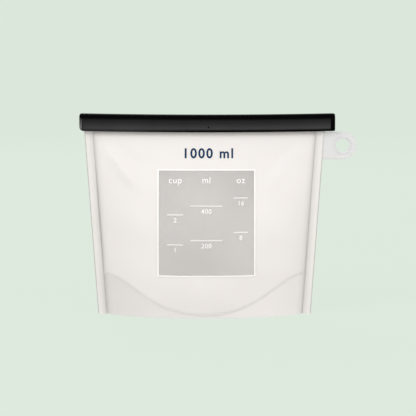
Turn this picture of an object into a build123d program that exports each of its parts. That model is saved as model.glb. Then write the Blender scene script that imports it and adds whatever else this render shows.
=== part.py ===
"""A reusable stand-up silicone bag with a slide-on sealing bar.

The frame is in millimetres: +Z up, +X along the bar towards its open end, and
-Y towards the front. The origin is on the ground, midway between the front and
back walls and between the side seams.
"""

from build123d import *
import os

os.makedirs("parts", exist_ok=True)

# ---------------------------------------------------------------- driving sizes
OVERALL_HEIGHT = 182.5  # ground to the top of the bar's ends
MOUTH_WIDTH = 218.2  # across the folded mouth, seams included
BASE_WIDTH = 193.8  # across the base, seams included
BASE_DEPTH = 55.0  # front to back over the two walls, at the ground
WALL = 1.1  # thickness of the silicone sheet

SEAM_WIDTH = 8.2
SEAM_THICKNESS = 2.4

BAR_HEIGHT = 15.6
BAR_WALL = 1.8
BAR_FLANGE = 2.0  # thickness of the two lips on either side of the slot
BAR_BOW = 1.2  # how much lower the middle of the bar sits than its ends
BAR_SHOULDER = 4.0
SLOT_CLEARANCE = 0.5  # on each side of the seams, where they pass through the slot
FRONT_CLEARANCE = 2.85  # inside the bar, in front of the seams
BACK_CLEARANCE = 0.95  # inside the bar, behind the lip's rim
NECK_DEPTH = 3.7  # the walls come together this far below the bar
BAR_FOOT = 1.5
BAR_OVERHANG = 8.5  # how far the open end passes the right seam
CAP_THICKNESS = 2.7
CAP_CORNER = 3.9
END_GAP = 0.8  # between the left seam and the bar's closed end
BAR_END_ROUND = 1.2
LEAD_LENGTH = 4.0  # the slot flares over this length at the open end
LEAD_FLARE = 0.8  # on each side of the slot
GATE_RADIUS = 0.8
GATE_DEPTH = 0.3
GATE_PLACE = 3.6
GATE_HEIGHT = 4.5

FOLD_RADIUS = 0.5  # inside the folded mouth
FOLD_CLEARANCE = 0.4  # between the fold and the bar, at the tightest place
RIM_HEIGHT = 2.4
RIM_RAISE = 0.6
LIP_TRIM = 0.3  # how far the folded mouth stops short of the seams' outer edges

TAB_REACH = 17.3  # from the seam to the middle of the hole
TAB_RADIUS = 12.4
TAB_THICKNESS = 2.0
TAB_GAP = 0.3  # between the tab's rounded root and the seam
TAB_CLEARANCE = 0.9  # between the top of the tab and the bar's ends
RING_OUTER = 8.2
RING_BORE = 6.3
RING_THICKNESS = 2.6

WINDOW_LEFT = -40.8
WINDOW_RIGHT = 44.4
WINDOW_BOTTOM = 39.2
WINDOW_TOP = 131.8
BORDER_WIDTH = 1.3
BORDER_RAISE = 0.45

MARK_WIDTH = 0.9
MARK_RAISE = 0.35
PRINT_RAISE = 0.12
TITLE_SIZE = 6.0
TITLE_BASE = 121.0
NUMERAL_SIZE = 4.2
NUMERAL_STROKE = 0.7
NUMERAL_DROP = 6.6  # from a graduation line down to the foot of its numeral
LETTER_GAP = 0.32  # between letters, as a share of their size
PRINT_SIZE = 8.6
PRINT_STROKE = 1.35
PRINT_MIDDLE = 3.2
PRINT_BASE = 143.0

GUSSET_END_GAP = 0.8  # between the floor's pointed ends and the seams
GUSSET_END_HEIGHT = 37.0  # where the floor meets the side seams
GUSSET_FLOOR = 2.7  # where the floor sheet dips lowest
GUSSET_BEAD = 1.6  # thickness of the bead that bonds the floor to a wall
GUSSET_BEAD_SHORT = 4.5  # how far the beads stop short of the floor's ends
WELD_GAP = 0.1

# ---------------------------------------------------------------- derived sizes
bar_bottom = OVERALL_HEIGHT - BAR_HEIGHT
fold_outer = FOLD_RADIUS + 2 * WALL
fold_y = WALL + FOLD_RADIUS
fold_z = OVERALL_HEIGHT - BAR_BOW - BAR_WALL - FOLD_CLEARANCE - fold_outer
lip_bottom = bar_bottom + BAR_FLANGE + FOLD_CLEARANCE
neck_z = bar_bottom - BAR_BOW - NECK_DEPTH

# Each pair is a share of the neck's height and a share of the base's half depth.
base_bulge = BASE_DEPTH / 2 - WALL
bulge_shape = (
    (0.000, 1.000),
    (0.125, 1.095),
    (0.280, 1.135),
    (0.460, 1.060),
    (0.640, 0.835),
    (0.790, 0.535),
    (0.900, 0.255),
    (0.962, 0.090),
    (1.000, 0.010),
)
bulge_stations = [(share * neck_z, depth * base_bulge) for share, depth in bulge_shape]

bar_left = -MOUTH_WIDTH / 2 - END_GAP - CAP_THICKNESS
bar_right = MOUTH_WIDTH / 2 + BAR_OVERHANG
cap_face = bar_left + CAP_THICKNESS
past_right = bar_right + 1
bar_middle = (bar_left + bar_right) / 2
slot_half = SEAM_THICKNESS / 2 + SLOT_CLEARANCE
cavity_front = -SEAM_THICKNESS / 2 - FRONT_CLEARANCE
cavity_back = fold_y + fold_outer + RIM_RAISE + BACK_CLEARANCE
bar_front = cavity_front - BAR_WALL
bar_back = cavity_back + BAR_WALL

lip_half = MOUTH_WIDTH / 2 - LIP_TRIM
lip_near = fold_y + FOLD_RADIUS  # the face of the lip that lies against the neck's back


def half_width(height):
    """Half the bag's width at a height, seam included."""
    return (BASE_WIDTH + (MOUTH_WIDTH - BASE_WIDTH) * height / fold_z) / 2


def panel_half(height):
    """Half the width between the two side seams at a height."""
    return half_width(height) - SEAM_WIDTH


def bulged_curve(height, depth, skin):
    """The curve of a face of the front wall, a distance skin outside its inner face."""
    half = panel_half(height)
    reach = depth / 0.75
    return Bezier(
        (-half, -skin),
        (-0.6 * half, -reach - skin),
        (0.6 * half, -reach - skin),
        (half, -skin),
    )


def front_skin(inner, outer):
    """The layer of the front wall between two distances from its inner face."""
    with BuildPart() as skin:
        for height, depth in bulge_stations:
            with BuildSketch(Plane.XY.offset(height)):
                with BuildLine():
                    near = bulged_curve(height, depth, inner)
                    far = bulged_curve(height, depth, outer)
                    Line(near @ 0, far @ 0)
                    Line(near @ 1, far @ 1)
                make_face()
        loft()
    return skin.part


def inside_space():
    """The space between the front and back walls, just clear of their inner faces."""
    with BuildPart() as space:
        for height, depth in bulge_stations:
            with BuildSketch(Plane.XY.offset(height)):
                with BuildLine():
                    front = bulged_curve(height, depth - WELD_GAP, 0)
                    mirror(front, about=Plane.XZ)
                make_face()
        loft()
    return space.part


def wall_panel():
    """The front wall from the ground to the fold, before the window is cut."""
    with BuildPart() as panel:
        add(front_skin(0, WALL))
        with BuildSketch(Plane.XZ):
            with BuildLine():
                Polyline(
                    (-panel_half(neck_z), neck_z),
                    (panel_half(neck_z), neck_z),
                    (panel_half(fold_z), fold_z),
                    (-panel_half(fold_z), fold_z),
                    close=True,
                )
            make_face()
        extrude(amount=WALL)
    return panel.part


window_middle = ((WINDOW_LEFT + WINDOW_RIGHT) / 2, (WINDOW_BOTTOM + WINDOW_TOP) / 2)
window_width = WINDOW_RIGHT - WINDOW_LEFT
window_height = WINDOW_TOP - WINDOW_BOTTOM
skin_reach = 2 * base_bulge  # far enough forward to pass right through the front wall

# ---------------------------------------------------------------- pouch: walls
with BuildPart() as front_panel:
    add(wall_panel())
    with BuildSketch(Plane.XZ):
        with Locations(window_middle):
            Rectangle(window_width, window_height)
    extrude(amount=skin_reach, mode=Mode.SUBTRACT)

with BuildPart() as front_window:
    add(front_skin(0, WALL))
    with BuildSketch(Plane.XZ):
        with Locations(window_middle):
            Rectangle(window_width, window_height)
    extrude(amount=skin_reach, mode=Mode.INTERSECT)

with BuildPart() as back_panel:
    add(wall_panel())
    mirror(about=Plane.XZ, mode=Mode.REPLACE)

with BuildPart() as window_border:
    add(front_skin(WALL, WALL + BORDER_RAISE))
    with BuildSketch(Plane.XZ):
        with Locations(window_middle):
            RectangleRounded(window_width + 2 * BORDER_WIDTH, window_height + 2 * BORDER_WIDTH, 1.2)
            Rectangle(window_width, window_height, mode=Mode.SUBTRACT)
    extrude(amount=skin_reach, mode=Mode.INTERSECT)

# ---------------------------------------------------------------- pouch: floor
floor_half = panel_half(GUSSET_END_HEIGHT) - GUSSET_END_GAP
bead_half = floor_half - GUSSET_BEAD_SHORT
floor_curve = (
    (-floor_half, GUSSET_END_HEIGHT),
    (-0.73 * floor_half, GUSSET_END_HEIGHT),
    (-0.55 * floor_half, GUSSET_FLOOR),
    (0.0, GUSSET_FLOOR),
)


def floor_band(low, high):
    """The floor's curve as a flat band between two heights above the curve."""
    below = [(x, z + low) for x, z in floor_curve]
    above = [(x, z + high) for x, z in floor_curve]
    with BuildSketch(Plane.XZ) as band:
        with BuildLine():
            left_below = Bezier(*below)
            left_above = Bezier(*above)
            mirror(left_below, about=Plane.YZ)
            mirror(left_above, about=Plane.YZ)
            Line(below[0], above[0])
            Line((floor_half, below[0][1]), (floor_half, above[0][1]))
        make_face()
    return band.sketch


with BuildPart() as bottom_gusset:
    add(inside_space())
    with BuildSketch(Plane.XZ):
        add(floor_band(0, WALL))
    extrude(amount=skin_reach, both=True, mode=Mode.INTERSECT)

with BuildPart() as front_gusset_weld:
    add(front_skin(-GUSSET_BEAD, -WELD_GAP))
    with BuildSketch(Plane.XZ):
        add(floor_band(-GUSSET_BEAD, -WELD_GAP))
    extrude(amount=skin_reach, mode=Mode.INTERSECT)
    Box(2 * bead_half, 4 * skin_reach, 4 * GUSSET_END_HEIGHT, mode=Mode.INTERSECT)

with BuildPart() as back_gusset_weld:
    add(front_gusset_weld.part)
    mirror(about=Plane.XZ, mode=Mode.REPLACE)


# ---------------------------------------------------------------- pouch: side seams
def side_seam(side):
    """A welded edge band from the ground to the fold; side is -1 left, +1 right."""
    with BuildPart() as seam:
        with BuildSketch(Plane.XZ):
            with BuildLine():
                Polyline(
                    (side * panel_half(0), 0),
                    (side * half_width(0), 0),
                    (side * half_width(fold_z), fold_z),
                    (side * panel_half(fold_z), fold_z),
                    close=True,
                )
            make_face()
        extrude(amount=SEAM_THICKNESS / 2, both=True)
        long_edges = seam.edges().filter_by(lambda edge: edge.length > fold_z / 2)
        outer_edges = long_edges.sort_by(lambda edge: abs(edge.center().X))[-2:]
        fillet(outer_edges, radius=0.9 * SEAM_THICKNESS / 2)
    return seam.part


with BuildPart() as left_side_seam:
    add(side_seam(-1))

with BuildPart() as right_side_seam:
    add(side_seam(1))


# ---------------------------------------------------------------- pouch: raised marks
# Each letter is a few strokes in a box one unit high, followed by the letter's width.
box = ((0, 0), (0.55, 0), (0.55, 1), (0, 1), (0, 0))
small_box = ((0, 0), (0.5, 0), (0.5, 0.6), (0, 0.6), (0, 0))
letters = {
    "0": ((box,), 0.55),
    "1": ((((0, 0.75), (0.25, 1), (0.25, 0)),), 0.25),
    "2": ((((0, 1), (0.55, 1), (0.55, 0.5), (0, 0.5), (0, 0), (0.55, 0)),), 0.55),
    "4": ((((0, 1), (0, 0.4), (0.55, 0.4)), ((0.4, 0.7), (0.4, 0))), 0.55),
    "6": ((((0.55, 1), (0, 1), (0, 0), (0.55, 0), (0.55, 0.55), (0, 0.55)),), 0.55),
    "8": ((box, ((0, 0.5), (0.55, 0.5))), 0.55),
    "c": ((((0.5, 0.6), (0, 0.6), (0, 0), (0.5, 0)),), 0.5),
    "l": ((((0, 0), (0, 1)),), 0.0),
    "m": ((((0, 0), (0, 0.6), (0.8, 0.6), (0.8, 0)), ((0.4, 0.6), (0.4, 0))), 0.8),
    "o": ((small_box,), 0.5),
    "p": ((((0, -0.35), (0, 0.6), (0.5, 0.6), (0.5, 0), (0, 0)),), 0.5),
    "u": ((((0, 0.6), (0, 0), (0.5, 0), (0.5, 0.6)),), 0.5),
    "z": ((((0, 0.6), (0.5, 0.6), (0, 0), (0.5, 0)),), 0.5),
    " ": ((), 0.1),
}


def lettering(text, size, stroke, middle, base):
    """Stroke lettering in the XZ plane, centred on middle and standing on base."""
    spacing = LETTER_GAP * size
    widths = [letters[letter][1] * size for letter in text]
    left = middle - (sum(widths) + spacing * (len(text) - 1)) / 2
    with BuildSketch(Plane.XZ) as words:
        for letter, width in zip(text, widths):
            for points in letters[letter][0]:
                with BuildLine():
                    Polyline(*[(left + x * size, base + z * size) for x, z in points])
                trace(line_width=stroke)
            left += width + spacing
    return words.sketch


def scale_column(middle, length, title, graduations):
    """A title, and a line with its numeral for each graduation, in the XZ plane."""
    with BuildSketch(Plane.XZ) as column:
        add(lettering(title, TITLE_SIZE, NUMERAL_STROKE, middle, TITLE_BASE))
        for height, numeral in graduations:
            with Locations((middle, height)):
                Rectangle(length, MARK_WIDTH)
            add(lettering(numeral, NUMERAL_SIZE, NUMERAL_STROKE, middle, height - NUMERAL_DROP))
    return column.sketch


def raised_on_front(flat, raise_by):
    """Flat shapes in the XZ plane, raised on the outer face of the front wall."""
    with BuildPart() as raised:
        add(front_skin(WALL, WALL + raise_by))
        with BuildSketch(Plane.XZ):
            add(flat)
        extrude(amount=skin_reach, mode=Mode.INTERSECT)
    return raised.part


cups_column = scale_column(-26.2, 15.0, "cup", ((93.1, "2"), (66.7, "1")))
millilitre_column = scale_column(1.8, 29.6, "ml", ((101.0, "400"), (70.6, "200")))
ounce_column = scale_column(32.6, 13.4, "oz", ((108.0, "16"), (77.6, "8")))

with BuildPart() as cups_scale:
    add(raised_on_front(cups_column, MARK_RAISE))

with BuildPart() as millilitre_scale:
    add(raised_on_front(millilitre_column, MARK_RAISE))

with BuildPart() as ounce_scale:
    add(raised_on_front(ounce_column, MARK_RAISE))

capacity_words = lettering("1000 ml", PRINT_SIZE, PRINT_STROKE, PRINT_MIDDLE, PRINT_BASE)

with BuildPart() as capacity_print:
    add(raised_on_front(capacity_words, PRINT_RAISE))


# ---------------------------------------------------------------- sealing bar
def bar_band(low, high, left, right):
    """A bowed band of the bar in the XZ plane, between heights over the bar's bottom."""
    curves = []
    for rise in (low, high):
        level = bar_bottom + rise
        curves.append(((left, level), (bar_middle, level - BAR_BOW), (right, level)))
    below, above = curves
    with BuildSketch(Plane.XZ) as band:
        with BuildLine():
            ThreePointArc(*below)
            ThreePointArc(*above)
            Line(below[0], above[0])
            Line(below[2], above[2])
        make_face()
    return band.sketch


def bar_layer(low, high, left, right, front, back):
    """A bowed band of the bar, from its front to its back face."""
    with BuildPart() as layer:
        with BuildSketch(Plane.XZ.offset(-front)):
            add(bar_band(low, high, left, right))
        extrude(amount=front - back)
    return layer.part


def bar_outside():
    """The bar as a solid piece with its outer edges rounded."""
    with BuildPart() as block:
        add(bar_layer(0, BAR_HEIGHT, bar_left, bar_right, bar_front, bar_back))
        closed_end = block.edges().filter_by(Axis.Y).group_by(Axis.X)[0].sort_by(Axis.Z)
        fillet(closed_end[0], CAP_CORNER)
        fillet(block.edges().filter_by(is_long).group_by(Axis.Z)[-1], BAR_SHOULDER)
        fillet(block.edges().filter_by(is_long).group_by(Axis.Z)[0], BAR_FOOT)
        fillet(block.edges().filter_by(Axis.Z).group_by(Axis.X)[-1], BAR_END_ROUND)
    return block.part


def is_long(edge):
    """Whether an edge runs along the bar."""
    return edge.length > MOUTH_WIDTH


def bar_cavity():
    """The space inside the bar, with rounded upper corners like the outside."""
    with BuildPart() as cavity:
        add(bar_layer(BAR_FLANGE, BAR_HEIGHT - BAR_WALL, cap_face, past_right, cavity_front, cavity_back))
        fillet(cavity.edges().filter_by(is_long).group_by(Axis.Z)[-1], BAR_SHOULDER - BAR_WALL)
    return cavity.part


with BuildPart() as slider_channel:
    add(bar_outside())
    split(bisect_by=Plane.YZ.offset(cap_face), keep=Keep.TOP)
    add(bar_cavity(), mode=Mode.SUBTRACT)
    add(
        bar_layer(-BAR_FLANGE, 1.5 * BAR_FLANGE, cap_face, past_right, -slot_half, slot_half),
        mode=Mode.SUBTRACT,
    )
    with BuildSketch(Plane.XY.offset(bar_bottom - BAR_FLANGE)):
        with BuildLine():
            Polyline(
                (bar_right - LEAD_LENGTH, -slot_half),
                (bar_right, -slot_half - LEAD_FLARE),
                (past_right, -slot_half - LEAD_FLARE),
                (past_right, slot_half + LEAD_FLARE),
                (bar_right, slot_half + LEAD_FLARE),
                (bar_right - LEAD_LENGTH, slot_half),
                close=True,
            )
        make_face()
    extrude(amount=2.5 * BAR_FLANGE, mode=Mode.SUBTRACT)
    with BuildSketch(Plane.XZ.offset(-bar_front)):
        with Locations((GATE_PLACE, bar_bottom + GATE_HEIGHT)):
            Circle(GATE_RADIUS)
    extrude(amount=-GATE_DEPTH, mode=Mode.SUBTRACT)

with BuildPart() as slider_end_cap:
    add(bar_outside())
    split(bisect_by=Plane.YZ.offset(cap_face), keep=Keep.BOTTOM)


# ---------------------------------------------------------------- folded mouth
def fold_arc(inner):
    """Half a turn of one sheet over the mouth, from the neck to the lip behind it."""
    with BuildPart() as arc:
        with BuildSketch(Plane.YZ.offset(-lip_half)):
            with Locations((fold_y, fold_z)):
                Circle(inner + WALL)
                Circle(inner, mode=Mode.SUBTRACT)
                Rectangle(
                    4 * fold_outer,
                    2 * fold_outer,
                    align=(Align.CENTER, Align.MAX),
                    mode=Mode.SUBTRACT,
                )
        extrude(amount=2 * lip_half)
    return arc.part


def lip_layer(near, thickness, top):
    """A flat strip behind the neck, hanging down to the lip's free edge."""
    with BuildPart() as strip:
        with BuildSketch(Plane.YZ.offset(-lip_half)):
            with Locations((near, lip_bottom)):
                Rectangle(thickness, top - lip_bottom, align=(Align.MIN, Align.MIN))
        extrude(amount=2 * lip_half)
    return strip.part


with BuildPart() as back_fold:
    add(fold_arc(FOLD_RADIUS))

with BuildPart() as front_fold:
    add(fold_arc(FOLD_RADIUS + WALL))

with BuildPart() as back_lip:
    add(lip_layer(lip_near, WALL, fold_z))

with BuildPart() as front_lip:
    add(lip_layer(lip_near + WALL, WALL, fold_z))

with BuildPart() as lip_rim:
    add(lip_layer(lip_near + 2 * WALL, RIM_RAISE, lip_bottom + RIM_HEIGHT))
    fillet(lip_rim.edges().filter_by(Axis.X).group_by(Axis.Y)[-1], RIM_RAISE / 2)

# ---------------------------------------------------------------- hang tab
tab_z = bar_bottom - TAB_CLEARANCE - TAB_RADIUS
tab_top = tab_z + TAB_RADIUS
tab_foot = tab_z - TAB_RADIUS
tab_x = half_width(tab_z) + TAB_REACH
tab_middle = (tab_x, tab_z)
root_top = (half_width(tab_top) + TAB_GAP, tab_top)
root_foot = (half_width(tab_foot) + TAB_GAP, tab_foot)

with BuildPart() as hang_tab:
    with BuildSketch(Plane.XZ):
        with BuildLine():
            Line(root_top, (tab_x, tab_top))
            ThreePointArc((tab_x, tab_top), (tab_x + TAB_RADIUS, tab_z), (tab_x, tab_foot))
            Line((tab_x, tab_foot), root_foot)
            Line(root_foot, root_top)
        make_face()
        with Locations(tab_middle):
            Circle(RING_OUTER, mode=Mode.SUBTRACT)
    extrude(amount=TAB_THICKNESS / 2, both=True)
    root_edges = hang_tab.edges().filter_by(GeomType.LINE).filter_by(lambda edge: edge.length > TAB_RADIUS)
    fillet(root_edges.group_by(Axis.X)[0], 0.95 * TAB_THICKNESS / 2)

with BuildPart() as hang_ring:
    with BuildSketch(Plane.XZ):
        with Locations(tab_middle):
            Circle(RING_OUTER)
            Circle(RING_BORE, mode=Mode.SUBTRACT)
    extrude(amount=RING_THICKNESS / 2, both=True)

# ---------------------------------------------------------------- the pieces
pieces = {
    "front_panel": front_panel,
    "back_panel": back_panel,
    "bottom_gusset": bottom_gusset,
    "left_side_seam": left_side_seam,
    "right_side_seam": right_side_seam,
    "front_window": front_window,
    "window_border": window_border,
    "cups_scale": cups_scale,
    "millilitre_scale": millilitre_scale,
    "ounce_scale": ounce_scale,
    "capacity_print": capacity_print,
    "front_gusset_weld": front_gusset_weld,
    "back_gusset_weld": back_gusset_weld,
    "slider_channel": slider_channel,
    "slider_end_cap": slider_end_cap,
    "front_fold": front_fold,
    "back_fold": back_fold,
    "front_lip": front_lip,
    "back_lip": back_lip,
    "lip_rim": lip_rim,
    "hang_tab": hang_tab,
    "hang_ring": hang_ring,
}

for name, piece in pieces.items():
    piece.part.label = name
    export_step(piece.part, f"parts/{name}.step")
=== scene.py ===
"""Looks of a stand-up silicone food bag that a slide-on bar seals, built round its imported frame."""

import logging
import math
from collections.abc import Callable, Sequence
from dataclasses import dataclass, field, replace
from enum import Enum

import bpy
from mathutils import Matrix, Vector


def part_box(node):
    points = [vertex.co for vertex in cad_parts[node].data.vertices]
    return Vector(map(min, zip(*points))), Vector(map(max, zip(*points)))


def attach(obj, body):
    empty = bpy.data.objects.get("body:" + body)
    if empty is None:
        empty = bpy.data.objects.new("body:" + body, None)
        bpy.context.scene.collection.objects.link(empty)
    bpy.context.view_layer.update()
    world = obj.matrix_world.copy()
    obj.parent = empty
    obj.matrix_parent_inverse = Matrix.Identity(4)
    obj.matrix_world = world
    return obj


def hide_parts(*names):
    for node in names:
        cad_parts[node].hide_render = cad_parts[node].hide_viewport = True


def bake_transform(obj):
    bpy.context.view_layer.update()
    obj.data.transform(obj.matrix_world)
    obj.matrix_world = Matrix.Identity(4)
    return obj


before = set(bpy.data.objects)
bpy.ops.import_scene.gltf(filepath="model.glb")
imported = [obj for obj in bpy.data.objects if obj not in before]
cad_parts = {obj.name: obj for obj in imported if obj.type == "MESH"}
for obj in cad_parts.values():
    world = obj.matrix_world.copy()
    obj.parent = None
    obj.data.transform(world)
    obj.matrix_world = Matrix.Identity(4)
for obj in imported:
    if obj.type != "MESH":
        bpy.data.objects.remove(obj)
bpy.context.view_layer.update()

log = logging.getLogger("silicone_bag")

MM = 0.001
MERGE = 1e-7
# name of the point attribute that holds each piece's painted shade
SHADE = "shade"
Colour = tuple[float, float, float]
Profile = Sequence[tuple[float, float]]
Place = Callable[[float, float], Vector]


class Side(Enum):
    """Which of the two walls; the front one faces -Y."""

    FRONT = -1
    BACK = 1


class Hand(Enum):
    """Which end of the bag, seen from the front."""

    LEFT = -1
    RIGHT = 1


# ---------------------------------------------------------------- small sums
def smooth_step(value: float, low: float, high: float) -> float:
    """Rises softly from 0 to 1 between two values.

    Args:
        value: the number to place.
        low: where the rise starts.
        high: where it ends.

    Returns:
        The height of the rise, from 0 to 1.
    """
    share = min(1.0, max(0.0, (value - low) / (high - low)))
    return share * share * (3 - 2 * share)


def bump(value: float, middle: float, width: float) -> float:
    """A smooth bump of height 1 round a middle value.

    Args:
        value: the number to place.
        middle: where the bump is highest.
        width: how far from the middle it has mostly died out.

    Returns:
        The bump's height there.
    """
    return math.exp(-(((value - middle) / width) ** 2))


def spline(stations: Profile, at: float) -> float:
    """Smooth curve through stations, each a place and a value.

    Args:
        stations: pairs in rising order of place.
        at: where to read the curve.

    Returns:
        The value there.
    """
    if at <= stations[0][0]:
        return stations[0][1]
    if at >= stations[-1][0]:
        return stations[-1][1]
    last = len(stations) - 2
    index = next(i for i in range(last + 1) if at <= stations[i + 1][0])
    slopes = []
    for knot in (index, index + 1):
        before = stations[max(knot - 1, 0)]
        after = stations[min(knot + 1, last + 1)]
        slopes.append((after[1] - before[1]) / (after[0] - before[0]))
    (x0, y0), (x1, y1) = stations[index], stations[index + 1]
    run = x1 - x0
    s = (at - x0) / run
    rise = y0 * (1 + 2 * s) * (1 - s) ** 2 + y1 * s * s * (3 - 2 * s)
    return rise + run * (slopes[0] * s * (1 - s) ** 2 - slopes[1] * s * s * (1 - s))


def arc(centre: tuple[float, float], radius: float, start: float, end: float, steps: int) -> list:
    """Points along part of a circle.

    Args:
        centre: the circle's middle.
        radius: its radius.
        start: angle of the first point, in degrees.
        end: angle of the last point, in degrees.
        steps: how many runs between the first and last point.

    Returns:
        The points, the first and last included.
    """
    points = []
    for step in range(steps + 1):
        angle = math.radians(start + (end - start) * step / steps)
        points.append((centre[0] + radius * math.cos(angle), centre[1] + radius * math.sin(angle)))
    return points


# ---------------------------------------------------------------- modelling by hand
def deselect_everything() -> None:
    """Goes to object mode and deselects every object."""
    if bpy.context.mode != "OBJECT":
        bpy.ops.object.mode_set(mode="OBJECT")
    bpy.ops.object.select_all(action="DESELECT")


def take_up(piece: bpy.types.Object) -> None:
    """Makes one piece the only selected and active object."""
    deselect_everything()
    piece.select_set(True)
    bpy.context.view_layer.objects.active = piece


def open_edit(piece: bpy.types.Object) -> None:
    """Opens a piece in edit mode with all of it selected."""
    take_up(piece)
    bpy.ops.object.mode_set(mode="EDIT")
    bpy.ops.mesh.select_all(action="SELECT")


def close_edit() -> None:
    """Leaves edit mode."""
    bpy.ops.object.mode_set(mode="OBJECT")


def loft(name: str, columns: int, rows: int, place: Place, tube: bool = False) -> bpy.types.Object:
    """A grid whose points are pulled into a lofted sheet or a closed tube.

    Args:
        name: the piece's name.
        columns: faces across.
        rows: faces along.
        place: gives each point's place from its two shares, across and along.
        tube: whether the two long sides meet, and the ends are closed.

    Returns:
        The new piece.
    """
    deselect_everything()
    bpy.ops.mesh.primitive_grid_add(x_subdivisions=columns, y_subdivisions=rows, size=1.0)
    piece = bpy.context.active_object
    piece.name = name
    piece.data.name = name
    for vertex in piece.data.vertices:
        vertex.co = place(vertex.co.x + 0.5, vertex.co.y + 0.5)
    if tube:
        open_edit(piece)
        bpy.ops.mesh.remove_doubles(threshold=MERGE)
        bpy.ops.mesh.fill_holes(sides=0)
        bpy.ops.mesh.normals_make_consistent(inside=False)
        close_edit()
    return piece


def thicken(piece: bpy.types.Object, thickness: float, offset: float) -> None:
    """Gives a sheet its thickness; offset -1 builds behind its face and 1 in front."""
    take_up(piece)
    solid = piece.modifiers.new("thickness", "SOLIDIFY")
    solid.thickness = thickness
    solid.offset = offset
    solid.use_even_offset = True
    bpy.ops.object.modifier_apply(modifier=solid.name)


def soften_edges(piece: bpy.types.Object, width: float, segments: int = 2, angle: float = 40) -> None:
    """Rounds every edge that is sharper than an angle, in degrees."""
    take_up(piece)
    bevel = piece.modifiers.new("softened", "BEVEL")
    bevel.width = width
    bevel.segments = segments
    bevel.limit_method = "ANGLE"
    bevel.angle_limit = math.radians(angle)
    bevel.use_clamp_overlap = True
    bpy.ops.object.modifier_apply(modifier=bevel.name)


def smooth_shade(piece: bpy.types.Object, angle: float = 38) -> None:
    """Shades a piece smoothly, up to an angle in degrees."""
    take_up(piece)
    bpy.ops.object.shade_smooth_by_angle(angle=math.radians(angle))


def cut_rectangle(piece: bpy.types.Object, low: tuple[float, float], high: tuple[float, float]) -> None:
    """Scores a sheet along the four sides of a rectangle in X and Z."""
    for at, normal in (
        ((low[0], 0, 0), (1, 0, 0)),
        ((high[0], 0, 0), (1, 0, 0)),
        ((0, 0, low[1]), (0, 0, 1)),
        ((0, 0, high[1]), (0, 0, 1)),
    ):
        open_edit(piece)
        bpy.ops.mesh.bisect(plane_co=at, plane_no=normal)
        close_edit()


def keep_faces(piece: bpy.types.Object, wanted: Callable[[Vector], bool]) -> None:
    """Deletes each face whose middle isn't wanted."""
    open_edit(piece)
    bpy.ops.mesh.select_all(action="DESELECT")
    bpy.ops.mesh.select_mode(type="FACE")
    close_edit()
    for polygon in piece.data.polygons:
        polygon.select = not wanted(polygon.center)
    bpy.ops.object.mode_set(mode="EDIT")
    bpy.ops.mesh.delete(type="FACE")
    bpy.ops.mesh.select_mode(type="VERT")
    close_edit()


def profile_tube(
    name: str, profile: Profile, rows: int, place: Callable[[float, float, float], Vector]
) -> bpy.types.Object:
    """A closed profile carried along a run, with closed ends.

    Args:
        name: the piece's name.
        profile: the closed profile's points.
        rows: how many steps along.
        place: gives a point's place from its two profile sizes and its share along.

    Returns:
        The new piece.
    """
    count = len(profile)

    def point(across: float, along: float) -> Vector:
        """One point of the tube."""
        first, second = profile[round(across * count) % count]
        return place(first, second, along)

    return loft(name, count, rows, point, tube=True)


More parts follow.
